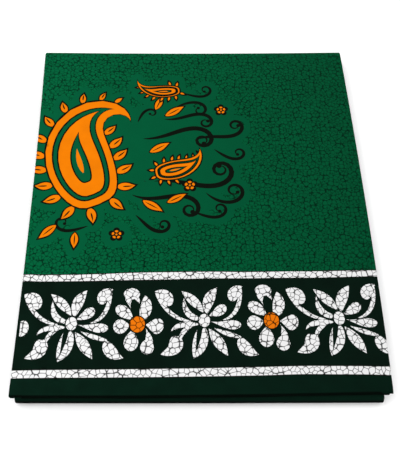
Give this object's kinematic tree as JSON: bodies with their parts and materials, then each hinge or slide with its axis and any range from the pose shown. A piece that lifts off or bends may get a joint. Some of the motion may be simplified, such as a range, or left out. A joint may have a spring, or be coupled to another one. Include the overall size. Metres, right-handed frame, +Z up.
{
  "type": "folded batik sarong",
  "caption": "Batik sarong, a printed cotton tube folded flat, with a crackled green ground, an orange motif and a border of white flowers between white stripes.",
  "frame": {"origin": "middle of the folded packet's outline seen from above, on the surface that it lies on", "axes": "+Z up out of the printed top, +Y from the hem edge at the front to the back fold, +X to the right seen from the hem edge"},
  "size_m": [0.3366, 0.4086, 0.0194],
  "materials": {
    "printed_top": "matte",
    "printed_under": "matte",
    "inner_layers": "matte"
  },
  "bodies": {
    "root": {"top_panel": "printed_top", "under_panel": "printed_under", "folded_layers": "inner_layers"}
  },
  "joints": []
}
